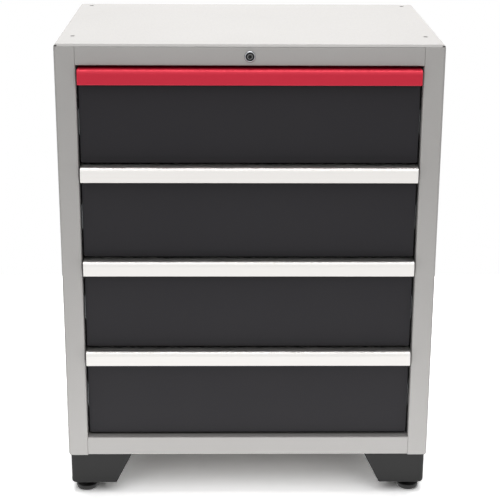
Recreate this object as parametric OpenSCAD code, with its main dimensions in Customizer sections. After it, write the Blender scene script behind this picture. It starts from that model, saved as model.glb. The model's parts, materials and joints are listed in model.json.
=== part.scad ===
// Four-drawer steel tool cabinet on levelling feet. Full-width pulls, telescopic
// ball-bearing slides and one key lock that holds every drawer through a lifting bar.
// The front faces -Y, the floor is at Z = 0 and X = 0 is the middle of the cabinet.

/* [Cabinet] */
// Outside width of the cabinet
frame_w = 663; // [600:1:900]
// Outside depth of the top panel
frame_d = 460; // [440:5:600]
// Height of the posts, from the legs to the top panel's lip
frame_h = 760; // [720:5:900]
// Thickness of the cabinet's steel sheet
sheet_t = 1.0; // [0.8:0.1:1.2]
// Width of a front post's face
post_w = 35.8; // [32:0.1:45]
// Depth of the wall beside the drawers, behind a post's face
post_return = 50; // [46:1:70]
// Width of the flange that closes the back of a post
post_flange = 20; // [10:1:24]
// Outer radius of a post's outside edge and of a side's lower edge
corner_r = 4.5; // [3:0.5:6]
// Outer radius of the other folds
fold_r = 2.0; // [1.6:0.1:3]
// Width of a side panel's flange under the top panel
top_flange = 16; // [12:1:18]
// Width of a side panel's flange under the floor panel
base_flange = 30; // [26:1:32]
// Width of a side panel's flange behind the back panel
rear_flange = 22; // [18:1:30]
// How far the sides stop short of the top panel's rear edge
rear_inset = 3.5; // [3.2:0.1:6]
// Thickness of the back panel
back_t = 0.8; // [0.6:0.1:1]
// Number of back panel screws on each side
back_screw_count = 5; // [3:1:7]

/* [Top panel] */
// Height of the rolled lip round the top panel
lip_h = 4.8; // [3.6:0.1:6]
// Outer radius of the lip's upper edge
lip_r = 1.5; // [1.4:0.1:2.4]
// Depth of the flange folded back under the lip
lip_return = 14; // [10:1:16]
// Open length of lip at each corner
corner_notch = 6; // [4:0.5:10]
// Height of that opening, below the top sheet
notch_h = 2.3; // [1.6:0.1:2.4]
// Diameter of the worktop bolt holes
worktop_hole_d = 8.5; // [5:0.5:9]
// Distance of the worktop holes from the sides
worktop_hole_side = 25; // [22:0.5:40]
// Distance of the front worktop holes from the front
worktop_hole_front = 78; // [60:1:120]
// Distance of the rear worktop holes from the rear
worktop_hole_rear = 26; // [24:1:60]

/* [Rails] */
// Height of the rail above the drawers
top_rail_h = 32; // [30:0.5:45]
// Height of the rail below the drawers
bottom_rail_h = 36; // [30:0.5:50]
// Depth of the rails' flanges
rail_flange = 24; // [18:1:26]
// How far the bottom rail ends above the posts' lower ends
rail_lift = 1; // [0.5:0.1:3]

/* [Drawers] */
// Gap between two drawer fronts
front_gap = 4.4; // [3:0.1:8]
// Gap between the end drawers and the rails
end_gap = 5.4; // [3:0.1:10]
// Gap between a drawer front and the posts
side_gap = 3.3; // [2:0.1:6]
// How far the drawer fronts sit behind the posts' faces
front_recess = 10.5; // [8:0.5:14]
// Depth of a folded drawer front
front_depth = 18; // [14:0.5:18]
// Corner radius of a drawer front
front_corner_r = 4; // [2:0.5:8]
// Width of the flange folded in behind a drawer front
front_flange = 15; // [12:1:24]
// Sheet thickness of the drawers
drawer_t = 0.9; // [0.7:0.1:1.2]
// Height of a drawer box
box_h = 120; // [90:1:124]
// Height of a drawer box above its front's lower edge
box_lift = 8; // [4:1:20]
// Depth of a drawer box
box_d = 405; // [402:1:408]
// Diameter of the rolled upper edge of a drawer box
box_hem_d = 4; // [3:0.5:5]

/* [Pulls] */
// How far a pull's lip stands in front of the drawer front
pull_depth = 20; // [16:0.5:26]
// Height of a pull's lip
pull_h = 27; // [20:0.5:36]
// Wall thickness of a pull
pull_t = 2; // [1.5:0.1:2.4]
// Outer radius of a pull's upper front edge
pull_r = 9; // [5:0.5:10]
// Outer radius of a pull's lower edge
pull_hem_r = 2.5; // [2.4:0.1:3]
// Depth of the lip's turned-in lower edge
pull_hem = 4; // [3.2:0.2:6]
// Depth of a pull's seat on top of the drawer front
pull_seat = 16; // [10:1:18]

/* [Slides] */
// Length of a drawer slide
slide_len = 400; // [380:5:402]
// Distance of the slides from the front of the posts
slide_front = 30; // [29.5:0.5:32]
// Height of a drawer slide
slide_h = 45.7; // [43:0.1:54]
// Width of a drawer slide
slide_w = 12.7; // [12.4:0.1:14]
// Sheet thickness of the slide rails
rail_t = 1.2; // [1:0.1:1.3]
// Outer radius of the slide rails' folds
rail_r = 1.8; // [1.5:0.1:2.4]
// Room for screw heads between the outer and the middle rail
rail_gap = 2.2; // [2.1:0.1:2.6]
// Diameter of the slide balls
ball_d = 4.75; // [4:0.05:5]
// Clearance between a ball and the rail it rolls on
ball_gap = 0.2; // [0.15:0.05:0.3]
// Length of a ball cage
cage_len = 190; // [120:5:200]
// Number of balls in each row
balls_per_row = 4; // [3:1:8]
// Thickness of a ball cage
cage_t = 0.8; // [0.5:0.1:1.2]
// Width of a ball cage
cage_w = 5.6; // [5.4:0.1:6]
// Distance of a slide's screws from its ends
slide_screw_inset = 12; // [10:1:16]

/* [Lock] */
// Depth of the lock's axis below the top panel's lip
lock_drop = 16.5; // [16:0.5:20]
// Diameter of the lock's bezel
bezel_d = 19.4; // [18:0.1:22]
// Thickness of the bezel
bezel_t = 2.5; // [2:0.1:4]
// Diameter of the groove round the plug
bezel_recess_d = 14.8; // [13:0.1:15.2]
// Depth of that groove
bezel_recess = 6; // [3:0.5:10]
// Diameter of the lock's barrel
barrel_d = 16; // [15:0.1:17]
// Length of the lock's barrel behind the rail's face
barrel_len = 26; // [20:1:30]
// Diameter of the turning plug
plug_d = 9.2; // [9:0.1:12]
// How far the plug's face lies behind the bezel's face
plug_drop = 0.7; // [0.4:0.1:1.2]
// Diameter of the dish in the plug's face
plug_dish_d = 7.2; // [6:0.1:8]
// Depth of that dish
plug_dish = 1; // [0.5:0.1:2]
// Width of the keyway
keyway_w = 2; // [1.6:0.1:3]
// Height of the keyway
keyway_h = 5.6; // [5:0.1:7]
// Diameter of the rod from the plug to the back
rod_d = 6; // [5:0.5:7]
// Radius of the crank on the rod
crank_r = 8; // [7:0.5:8.5]
// Diameter of the crank's pin
crank_pin_d = 5; // [4:0.5:5]
// Thickness of the crank's arm
crank_t = 3.5; // [3:0.5:4]
// Width of the lifting bar
bar_w = 26; // [24:1:34]
// Thickness of the lifting bar
bar_t = 3; // [2:0.5:3]
// Width of the lugs and hooks that hold the drawers
hook_w = 16; // [10:1:20]
// Reach of a drawer's hook behind its box
hook_reach = 14; // [12:0.5:14]
// Length of a hook's turned-down tip
hook_drop = 14; // [13:0.5:20]
// Depth of a hook below the top of its box
hook_below = 20; // [10:1:40]
// Sheet thickness of the hooks, lugs and guides
hook_t = 1.5; // [1.2:0.1:2]

/* [Legs and feet] */
// Height of a leg
leg_h = 59.5; // [50:0.5:90]
// How far the legs stand in from the cabinet's sides
leg_inset = 2.8; // [2:0.1:8]
// Width of a leg's walls at the top
leg_top_w = 113; // [110:1:140]
// Width of a leg's walls at the foot
leg_foot_w = 83; // [76:1:100]
// Sheet thickness of a leg
leg_t = 2; // [1.5:0.1:3]
// Outer radius of a leg's corner
leg_r = 10; // [6:0.5:12]
// Radius of a leg's lower outer corner
leg_toe_r = 4; // [2:0.5:6]
// Width of a leg's flanges
leg_flange = 30; // [26:1:32]
// Distance of the levelling foot from a leg's outer faces
foot_inset = 26.4; // [24:0.1:28]
// Height of a leg's lower edge above the floor
foot_h = 19.7; // [19:0.1:40]
// Diameter of a foot's pad
pad_d = 39.3; // [32:0.1:46]
// Height of a foot's pad
pad_h = 10; // [9:0.5:13]
// Radius of a pad's lower edge
pad_r = 5; // [2:0.5:5.5]
// Diameter of a foot's threaded stud
stud_d = 10; // [8:0.5:12]
// Length of the stud above the pad
stud_len = 45; // [38:1:54]
// Height of the hexagon on the stud
stud_hex_h = 5; // [3:0.5:6]
// Width across the corners of the hexagon and of the foot nuts
foot_nut_d = 19.6; // [17:0.1:22]
// Height of a foot nut
foot_nut_h = 8; // [6:0.5:10]
// Diameter of the leg bolts
leg_bolt_d = 8; // [6:0.5:8]
// Distance of the first leg bolt from a leg's outer face
leg_bolt_first = 60; // [58:1:66]
// Distance between a leg's two bolts
leg_bolt_pitch = 36; // [30:1:38]

/* [Clearances] */
// Radial running clearance of a turning shaft
running = 0.05; // [0.02:0.01:0.1]
// Radial clearance of a screw in its hole
screw_gap = 0.15; // [0.1:0.05:0.4]
// Clearance round the lifting bar
bar_gap = 0.4; // [0.3:0.05:0.6]
// Clearance above and below the crank's pin in the bar
slot_gap = 0.55; // [0.5:0.05:0.8]
// Clearance between a lug and the hook above it when unlocked
lug_gap = 1.5; // [1.2:0.1:2.5]
// Gap between the floor panel and the walls round it
panel_gap = 0.5; // [0.3:0.1:1]

/* [Hidden] */
$fn = 48;
// Flats on each fold, inner radius of the tightest folds and overshoot of cuts past a face
fold_steps = 5;
tight_fold = 0.2;
slack = 1;
drawer_count = 4;

half_w = frame_w / 2;
opening = half_w - post_w;
side_d = frame_d - rear_inset;
pull_proud = pull_depth - front_recess;
front_y = (pull_proud - frame_d) / 2;
base_z = foot_h + leg_h;
seat_z = base_z + frame_h;
top_z = seat_z + lip_h;
drawer_space = frame_h - top_rail_h - bottom_rail_h - 2 * end_gap;
front_h = (drawer_space - (drawer_count - 1) * front_gap) / drawer_count;
front_half = opening - side_gap;
box_half = opening - slide_w;
box_front = front_recess + front_depth;
box_rear = box_front + box_d;
function front_z(i) = seat_z - top_rail_h - end_gap - front_h - i * (front_h + front_gap);
function box_z(i) = front_z(i) + box_lift;
function slide_z(i) = box_z(i) + box_h / 2;

// Slide section, measured from the slide's middle and from its fixed face
raceway = ball_d + 2 * ball_gap;
mid_half = slide_h / 2 - rail_t - raceway;
inner_half = mid_half - rail_t - raceway;
mid_face = rail_t + rail_gap;
outer_short = 2;
mid_short = 1.5;
inner_short = 0.8;
outer_reach = slide_w - outer_short;
mid_reach = slide_w - mid_short;
inner_reach = mid_face + rail_t + inner_short;
ball_u = (inner_reach + slide_w - rail_t) / 2;
outer_row = slide_h / 2 - rail_t - raceway / 2;
inner_row = mid_half - rail_t - raceway / 2;
cage_middle = slide_front + slide_len / 2;
screw_d = 4.8;
screw_head_d = 7.6;
screw_head_h = 1.6;
screw_len = 8;
slide_screws_y = [slide_front + slide_screw_inset, slide_front + slide_len - slide_screw_inset];
back_screw_inset = 12;
back_screw_x = -half_w + back_screw_inset;

// Leg bolts and their nuts, which lie on the floor panel
bolt_head_h = 5;
bolt_nut_h = 6;
bolt_wide_d = 15;
bolt_end = 2;
nut_z = base_z + 2 * sheet_t;

// Rear upright that carries the slides, centred on their rear screws
upright_face = 40;
upright_foot = 20;
upright_y = slide_screws_y[1] - upright_face / 2;
upright_z = [nut_z + bolt_nut_h + bolt_end + panel_gap, seat_z - sheet_t - panel_gap];

// Lock axis, crank and lifting bar
lock_z = seat_z - lock_drop;
crank_angle = 45;
crank_x = -crank_r * cos(crank_angle);
crank_z = lock_z - crank_r * sin(crank_angle);
lift = 2 * crank_r * sin(crank_angle);
bar_back = side_d - bar_gap;
bar_front = bar_back - bar_t;
bar_x = (crank_x - crank_r) / 2;
bar_head = 2.4;
bar_top = crank_z + crank_pin_d / 2 + slot_gap + bar_head;
function hook_z(i) = box_z(i) + box_h - hook_below;
function lug_z(i) = hook_z(i) - hook_drop - lug_gap;
finger = lift - lug_gap;
strap_r = hook_t + tight_fold;
hook_tip = box_rear + hook_reach;
finger_y = (box_rear + hook_tip - hook_t) / 2 - hook_t / 2;
bar_tail = 40;
bar_low = lug_z(drawer_count - 1) - finger - bar_tail;
crank_gap = 4;
crank_y = bar_front - crank_t - crank_gap;
crank_half_w = rod_d / 2 + 1;
crank_dir = [-cos(crank_angle), -sin(crank_angle)];
hanger_gap = 24;
hanger_y = crank_y - hanger_gap;
hanger_flange = 20;
hanger_half = 12;
hanger_below = 8;
lock_nut_d = barrel_d + 7;
lock_nut_h = 5;
guide_h = 18;
guide_foot_w = 12;
guide_above_lug = 30;
guide_above_end = 8;

// Legs: distances from the outer corner at the front left
leg_x = -half_w + leg_inset;
foot_x = leg_x + foot_inset;
leg_bolt_side = 12;
leg_bolt_x = leg_x + leg_bolt_side;
leg_bolts_y = [for (k = [0, 1]) leg_inset + leg_bolt_first + k * leg_bolt_pitch];

DRAWER_PIECES = ["box", "front", "pull", "inner_rails", "inner_balls", "mid_rails", "outer_balls",
                 "outer_rails"];
function drawer_node(i, piece) = str("drawer_", i + 1, "_", piece);

silver = [0.62, 0.61, 0.60];
charcoal = [0.19, 0.19, 0.20];
black = [0.12, 0.12, 0.12];
zinc = [0.74, 0.75, 0.76];
aluminium = [0.90, 0.89, 0.88];
red = [0.76, 0.17, 0.22];

// Directions and arcs of folded sheet
function unit(v) = v / norm(v);
function left_of(d) = [-d[1], d[0]];
function turned(d, a) = [d[0] * cos(a) - d[1] * sin(a), d[0] * sin(a) + d[1] * cos(a)];
function fold_angle(p, q, s) =
    let (d = unit(q - p), e = unit(s - q))
    atan2(d[0] * e[1] - d[1] * e[0], d * e);

// Arc at corner q of the path p, q, s, shifted to the left of the path by off.
// r is the outer radius of the fold and t the thickness left of the path.
function fold_arc(p, q, s, r, t, off) =
    let (d = unit(q - p),
         a = fold_angle(p, q, s),
         side = sign(a),
         near = side > 0 ? r : r - t,
         centre = q - d * near * tan(abs(a) / 2) + left_of(d) * side * near)
    [for (k = [0 : fold_steps]) centre - turned(left_of(d) * side * (near - side * off), a * k / fold_steps)];
function reversed(list) = [for (k = [len(list) - 1 : -1 : 0]) list[k]];

// Section of a sheet of thickness t to the left of a path with rounded folds
function folded(path, t, radii) =
    let (n = len(path),
         first = left_of(unit(path[1] - path[0])) * t,
         last = left_of(unit(path[n - 1] - path[n - 2])) * t)
    concat(
        [path[0]],
        [for (k = [1 : n - 2]) each fold_arc(path[k - 1], path[k], path[k + 1], radii[k - 1], t, 0)],
        [path[n - 1], path[n - 1] + last],
        [for (k = [n - 2 : -1 : 1])
            each reversed(fold_arc(path[k - 1], path[k], path[k + 1], radii[k - 1], t, t))],
        [path[0] + first]);

// Closed outline with every corner rounded by its own radius
function rounded(points, radii) =
    let (n = len(points))
    [for (k = [0 : n - 1])
        each radii[k] == 0 ? [points[k]]
            : fold_arc(points[(k + n - 1) % n], points[k], points[(k + 1) % n], radii[k], 0, 0)];
function rectangle(x, y) = [[x[0], y[0]], [x[1], y[0]], [x[1], y[1]], [x[0], y[1]]];

// Placing helpers: local Y = 0 is the front plane of the posts
module at_front() { translate([0, front_y, 0]) children(); }
module along_x(x) {
    translate([x[0], 0, 0]) rotate([90, 0, 90]) linear_extrude(height = x[1] - x[0]) children();
}
module along_y(y) {
    translate([0, y[1], 0]) rotate([90, 0, 0]) linear_extrude(height = y[1] - y[0]) children();
}
module along_z(z) { translate([0, 0, z[0]]) linear_extrude(height = z[1] - z[0]) children(); }
module block(x, y, z) { translate([x[0], y[0], z[0]]) cube([x[1] - x[0], y[1] - y[0], z[1] - z[0]]); }
module round_x(y, z, d, x) { translate([x[0], y, z]) rotate([0, 90, 0]) cylinder(d = d, h = x[1] - x[0]); }
module round_y(x, z, d, y) { translate([x, y[0], z]) rotate([-90, 0, 0]) cylinder(d = d, h = y[1] - y[0]); }
module round_z(x, y, d, z) { translate([x, y, z[0]]) cylinder(d = d, h = z[1] - z[0]); }
module hexagon_z(x, y, d, z) { translate([x, y, z[0]]) cylinder(d = d, h = z[1] - z[0], $fn = 6); }
module on_both_sides() {
    children();
    mirror([1, 0, 0]) children();
}
module at_rear() { translate([0, side_d, 0]) mirror([0, 1, 0]) children(); }
module on_four_corners() {
    on_both_sides() {
        children();
        at_rear() children();
    }
}

// Holes for the slides' screws through everything at the slides' fixed faces
module slide_screw_holes(y) {
    for (i = [0 : drawer_count - 1])
        round_x(y, slide_z(i), screw_d + 2 * screw_gap, [-opening - screw_len, -opening + screw_len]);
}
module leg_bolt_holes() {
    for (y = leg_bolts_y)
        round_z(leg_bolt_x, y, leg_bolt_d + 2 * screw_gap, [base_z - 2 * leg_t, base_z + 2 * leg_t]);
}
module back_screw_places() {
    pitch = frame_h / back_screw_count;
    for (k = [0 : back_screw_count - 1])
        translate([back_screw_x, side_d, base_z + (k + 0.5) * pitch])
            rotate([-90, 0, 0]) children();
}

// Left side: post, wall and rear flange folded from one sheet, with the flanges above and below
module side_panel() {
    plan = [[-half_w + rear_flange, side_d], [-half_w, side_d], [-half_w, 0], [-opening, 0],
            [-opening, post_return], [-opening - post_flange, post_return]];
    base = [[-half_w, base_z + base_flange], [-half_w, base_z], [-half_w + base_flange, base_z]];
    difference() {
        union() {
            intersection() {
                along_z([base_z, seat_z]) polygon(folded(plan, sheet_t, [fold_r, corner_r, fold_r, fold_r]));
                along_y([-slack, frame_d]) polygon(rounded(
                    rectangle([-half_w, half_w], [base_z, seat_z]), [corner_r, 0, 0, 0]));
            }
            intersection() {
                along_y([0, side_d]) polygon(folded(base, sheet_t, [corner_r]));
                along_z([0, top_z]) polygon(rounded(
                    rectangle([-half_w, half_w], [0, side_d]), [corner_r, 0, 0, fold_r]));
            }
            block([-half_w + sheet_t / 2, -half_w + top_flange], [post_return, side_d - sheet_t / 2],
                  [seat_z - sheet_t, seat_z]);
        }
        slide_screw_holes(slide_screws_y[0]);
        leg_bolt_holes();
        at_rear() leg_bolt_holes();
        back_screw_places() cylinder(d = screw_d + 2 * screw_gap, h = 2 * screw_len, center = true);
    }
}
module left_side_panel() { color(silver) at_front() side_panel(); }
module right_side_panel() { color(silver) at_front() mirror([1, 0, 0]) side_panel(); }

// Sheet over the side panels' rear flanges
module back_panel() {
    edge = corner_r;
    color(silver) at_front() difference() {
        block([-half_w + edge, half_w - edge], [side_d, side_d + back_t],
              [base_z + edge, seat_z - panel_gap]);
        on_both_sides() back_screw_places()
            cylinder(d = screw_d + 2 * screw_gap, h = 2 * screw_len, center = true);
    }
}

// Shallow tray with a rolled lip that rests on the side panels and on the top rail
module tray_form(d, low_r, high_r) {
    z = [seat_z + d, top_z - d];
    radii = [low_r, low_r, high_r, high_r];
    intersection() {
        along_x([-half_w + d, half_w - d]) polygon(rounded(rectangle([d, frame_d - d], z), radii));
        along_y([d, frame_d - d]) polygon(rounded(rectangle([-half_w + d, half_w - d], z), radii));
    }
}
module top_panel() {
    notches_y = [[-slack, corner_notch], [frame_d - corner_notch, frame_d + slack]];
    color(silver) at_front() difference() {
        tray_form(0, sheet_t + tight_fold, lip_r);
        tray_form(sheet_t, tight_fold, lip_r - sheet_t);
        block([-half_w + lip_return, half_w - lip_return], [lip_return, frame_d - lip_return],
              [seat_z - slack, seat_z + lip_h / 2]);
        on_both_sides() for (y = notches_y)
            block([-half_w - slack, -half_w + corner_notch], y, [seat_z - slack, seat_z + notch_h]);
        for (x = [-half_w + worktop_hole_side, half_w - worktop_hole_side])
            for (y = [worktop_hole_front, frame_d - worktop_hole_rear])
                round_z(x, y, worktop_hole_d, [top_z - lip_h, top_z + slack]);
    }
}

// Floor sheet lying on the side panels' lower flanges
module floor_panel() {
    inner = half_w - corner_r - panel_gap;
    front = rail_flange + panel_gap;
    narrow = opening - panel_gap;
    rear = side_d - sheet_t - panel_gap;
    behind = post_return + panel_gap;
    color(silver) at_front() difference() {
        along_z([base_z + sheet_t, base_z + 2 * sheet_t]) polygon([
            [-narrow, front], [narrow, front], [narrow, behind], [inner, behind], [inner, rear],
            [-inner, rear], [-inner, behind], [-narrow, behind]]);
        on_four_corners() leg_bolt_holes();
    }
}

// Channel between the posts, open to the back
module rail_channel(z) {
    section = [[rail_flange, z[1]], [0, z[1]], [0, z[0]], [rail_flange, z[0]]];
    along_x([-opening, opening]) polygon(folded(section, sheet_t, [fold_r, fold_r]));
}
module top_rail() {
    color(silver) at_front() difference() {
        rail_channel([seat_z - top_rail_h, seat_z]);
        round_y(0, lock_z, barrel_d + 2 * screw_gap, [-slack, rail_flange]);
    }
}
module bottom_rail() { color(silver) at_front() rail_channel([base_z + rail_lift, base_z + bottom_rail_h]); }

// Rear channel that carries the outer slide rails, fixed to the inside of the side panel
module upright() {
    wall = -half_w + sheet_t;
    plan = [[wall, upright_y + upright_foot], [wall, upright_y], [-opening, upright_y],
            [-opening, upright_y + upright_face]];
    difference() {
        along_z(upright_z) polygon(folded(plan, sheet_t, [fold_r, fold_r]));
        slide_screw_holes(slide_screws_y[1]);
    }
}
module left_upright() { color(zinc) at_front() upright(); }
module right_upright() { color(zinc) at_front() mirror([1, 0, 0]) upright(); }

// Front left leg: folded corner with slanting inner edges and flanges above and below
module leg() {
    y = leg_inset;
    walls = [[leg_x, y + leg_top_w], [leg_x, y], [leg_x + leg_top_w, y]];
    function slanted(start) = rounded(
        [[start, foot_h], [start + leg_foot_w, foot_h], [start + leg_top_w, base_z], [start, base_z]],
        [leg_toe_r, 0, 0, 0]);
    function flange_plan(x, y, reach, cut) = [
        [x + leg_t / 2, y + leg_t / 2], [x + reach, y + leg_t / 2], [x + reach, y + leg_flange],
        [x + cut, y + cut], [x + leg_flange, y + reach], [x + leg_t / 2, y + reach]];
    knee = 2 * foot_inset;
    difference() {
        union() {
            intersection() {
                along_z([foot_h, base_z]) polygon(folded(walls, leg_t, [leg_r]));
                union() {
                    along_y([y, y + leg_r]) polygon(slanted(leg_x));
                    along_x([leg_x, leg_x + leg_r]) polygon(slanted(y));
                }
            }
            intersection() {
                union() {
                    along_z([base_z - leg_t, base_z]) polygon(
                        flange_plan(leg_x, y, leg_top_w - leg_t - fold_r, leg_flange));
                    along_z([foot_h, foot_h + leg_t]) polygon(
                        flange_plan(leg_x, y, leg_foot_w - leg_t - fold_r, knee));
                }
                along_z([foot_h, base_z]) polygon(rounded(
                    rectangle([leg_x, half_w], [y, side_d]), [leg_r, 0, 0, 0]));
                along_y([y, side_d]) polygon(rounded(
                    rectangle([leg_x, half_w], [foot_h, base_z]), [leg_toe_r, 0, 0, 0]));
                along_x([leg_x, half_w]) polygon(rounded(
                    rectangle([y, side_d], [foot_h, base_z]), [leg_toe_r, 0, 0, 0]));
            }
        }
        leg_bolt_holes();
        round_z(foot_x, y + foot_inset, stud_d + 2 * screw_gap, [foot_h - slack, foot_h + leg_h / 2]);
    }
}
module front_left_leg() { color(black) at_front() leg(); }
module front_right_leg() { color(black) at_front() mirror([1, 0, 0]) leg(); }
module rear_left_leg() { color(black) at_front() at_rear() leg(); }
module rear_right_leg() { color(black) at_front() at_rear() mirror([1, 0, 0]) leg(); }

// Levelling foot: pad with a rounded lower edge, hexagon and stud
module foot() {
    r = pad_d / 2;
    translate([foot_x, leg_inset + foot_inset, 0]) {
        rotate_extrude() polygon(rounded(
            [[0, 0], [r, 0], [r, pad_h], [0, pad_h]], [0, pad_r, pad_r / 2, 0]));
        translate([0, 0, pad_h - slack]) cylinder(d = foot_nut_d, h = stud_hex_h + slack, $fn = 6);
        translate([0, 0, pad_h - slack]) cylinder(d = stud_d, h = stud_len + slack);
    }
}
module front_left_foot() { color(black) at_front() foot(); }
module front_right_foot() { color(black) at_front() mirror([1, 0, 0]) foot(); }
module rear_left_foot() { color(black) at_front() at_rear() foot(); }
module rear_right_foot() { color(black) at_front() at_rear() mirror([1, 0, 0]) foot(); }

// Lock: fixed cylinder with its bezel, nut behind the rail, and the plug that the key turns
module lock_cylinder() {
    rim = bezel_d / 2;
    chamfer = bezel_t / 2;
    color(zinc) at_front() translate([0, 0, lock_z]) rotate([-90, 0, 0]) difference() {
        union() {
            rotate_extrude() polygon([
                [0, 0], [rim, 0], [rim, -bezel_t + chamfer], [rim - chamfer, -bezel_t], [0, -bezel_t]]);
            cylinder(d = barrel_d, h = barrel_len);
        }
        translate([0, 0, -bezel_t - slack])
            cylinder(d = plug_d + 2 * running, h = bezel_t + barrel_len + 2 * slack);
        translate([0, 0, -bezel_t - slack]) cylinder(d = bezel_recess_d, h = bezel_recess + slack);
    }
}
module lock_nut() {
    color(zinc) at_front() difference() {
        translate([0, sheet_t, lock_z]) rotate([-90, 0, 0]) cylinder(d = lock_nut_d, h = lock_nut_h, $fn = 6);
        round_y(0, lock_z, barrel_d + 2 * running, [0, lock_nut_h + 2 * sheet_t]);
    }
}
module lock_plug() {
    face = -bezel_t + plug_drop;
    depth = barrel_len / 2;
    color(zinc) at_front() difference() {
        round_y(0, lock_z, plug_d, [face, barrel_len]);
        round_y(0, lock_z, plug_dish_d, [face - slack, face + plug_dish]);
        block([-keyway_w / 2, keyway_w / 2], [face - slack, face + depth],
              [lock_z - keyway_h / 2, lock_z + keyway_h / 2]);
    }
}

// Rod from the plug to the back, with a crank whose pin lifts the bar
module lock_rod() {
    w = crank_half_w;
    arm = [for (p = rectangle([-w, crank_r + w], [-w, w]))
        [0, lock_z] + p[0] * crank_dir + p[1] * left_of(crank_dir)];
    joint = crank_y + crank_t / 2;
    color(zinc) at_front() {
        round_y(0, lock_z, rod_d, [barrel_len, joint]);
        along_y([crank_y, crank_y + crank_t]) polygon(rounded(arm, [for (p = arm) rod_d / 2]));
        round_y(crank_x, crank_z, crank_pin_d, [joint, bar_back]);
    }
}
module lock_rod_hanger() {
    top = top_z - sheet_t;
    color(zinc) at_front() difference() {
        along_x([-hanger_half, hanger_half]) polygon(folded(
            [[hanger_y, lock_z - hanger_below], [hanger_y, top], [hanger_y - hanger_flange, top]],
            hook_t, [strap_r]));
        round_y(0, lock_z, rod_d + 2 * running, [hanger_y - hanger_flange, hanger_y + hanger_flange]);
    }
}

// Flat bar behind the drawers with one upturned lug for each drawer
module lock_bar() {
    wide = [bar_x - bar_w / 2, bar_x + bar_w / 2];
    slot_x = [-crank_r - crank_pin_d / 2 - slot_gap, crank_x + crank_pin_d / 2 + slot_gap];
    slot_half = crank_pin_d / 2 + slot_gap;
    color(zinc) at_front() {
        difference() {
            block(wide, [bar_front, bar_back], [bar_low, bar_top]);
            block(slot_x, [bar_front - slack, bar_back + slack], [crank_z - slot_half, crank_z + slot_half]);
        }
        for (i = [0 : drawer_count - 1]) {
            lug = [bar_x - hook_w / 2, bar_x + hook_w / 2];
            low = lug_z(i) - finger;
            along_x(lug) polygon(folded(
                [[finger_y, lug_z(i)], [finger_y, low - hook_t], [bar_front + hook_t / 2, low - hook_t]],
                hook_t, [strap_r]));
        }
    }
}

// Straps on the back panel that guide the bar
module lock_bar_guides() {
    inner = bar_w / 2 + bar_gap;
    bridge = bar_front - bar_gap;
    places = [lug_z(0) + guide_above_lug, lug_z(1) + guide_above_lug, bar_low + guide_above_end];
    section = [[-inner - hook_t - guide_foot_w, side_d - hook_t], [-inner - hook_t, side_d - hook_t],
               [-inner - hook_t, bridge - hook_t], [inner + hook_t, bridge - hook_t],
               [inner + hook_t, side_d - hook_t], [inner + hook_t + guide_foot_w, side_d - hook_t]];
    color(zinc) at_front() translate([bar_x, 0, 0])
        for (z = places)
            along_z([z, z + guide_h]) polygon(folded(section, hook_t, [strap_r, strap_r, strap_r, strap_r]));
}

// Fasteners, each a group of like pieces
module leg_bolts() {
    color(zinc) at_front() on_four_corners() for (y = leg_bolts_y) {
        hexagon_z(leg_bolt_x, y, bolt_wide_d, [base_z - leg_t - bolt_head_h, base_z - leg_t]);
        round_z(leg_bolt_x, y, leg_bolt_d, [base_z - leg_t - slack, nut_z + bolt_nut_h + bolt_end]);
    }
}
module leg_nuts() {
    stud_hole = stud_d + 2 * running;
    color(zinc) at_front() on_four_corners() {
        for (y = leg_bolts_y) difference() {
            hexagon_z(leg_bolt_x, y, bolt_wide_d, [nut_z, nut_z + bolt_nut_h]);
            round_z(leg_bolt_x, y, leg_bolt_d + 2 * running, [base_z, base_z + leg_h]);
        }
        difference() {
            hexagon_z(foot_x, leg_inset + foot_inset, foot_nut_d,
                      [foot_h + leg_t, foot_h + leg_t + foot_nut_h]);
            round_z(foot_x, leg_inset + foot_inset, stud_hole, [foot_h, base_z]);
        }
    }
}
module back_screws() {
    color(zinc) at_front() on_both_sides() back_screw_places() {
        translate([0, 0, -screw_len]) cylinder(d = screw_d, h = screw_len + back_t + screw_head_h / 2);
        translate([0, 0, back_t]) cylinder(d = screw_head_d, h = screw_head_h);
    }
}
module slide_screws() {
    color(zinc) at_front() on_both_sides() for (i = [0 : drawer_count - 1]) for (y = slide_screws_y) {
        face = -opening + rail_t;
        round_x(y, slide_z(i), screw_d, [face - screw_len, face + screw_head_h / 2]);
        round_x(y, slide_z(i), screw_head_d, [face, face + screw_head_h]);
    }
}

// Drawer box: open tray with a rolled upper edge, and the hook that the lock's lug holds
module drawer_box(i) {
    z = [box_z(i), box_z(i) + box_h];
    t = drawer_t;
    hem = box_hem_d / 2;
    plan = rectangle([-box_half, box_half], [box_front, box_rear]);
    well = rectangle([-box_half + t, box_half - t], [box_front + t, box_rear - t]);
    rim = rectangle([-box_half + 2 * hem, box_half - 2 * hem], [box_front + 2 * hem, box_rear - 2 * hem]);
    hook = [[hook_tip, hook_z(i) - hook_drop], [hook_tip, hook_z(i) + hook_t],
            [box_rear - t / 2, hook_z(i) + hook_t]];
    color(charcoal) at_front() {
        difference() {
            along_z(z) polygon(rounded(plan, [for (k = plan) fold_r]));
            along_z([z[0] + t, z[1] - 2 * hem]) polygon(rounded(well, [for (k = well) fold_r - t]));
            along_z([z[1] - 2 * hem - slack, z[1] + slack]) polygon(rim);
        }
        along_x([bar_x - hook_w / 2, bar_x + hook_w / 2]) polygon(folded(hook, hook_t, [strap_r]));
    }
}

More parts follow.
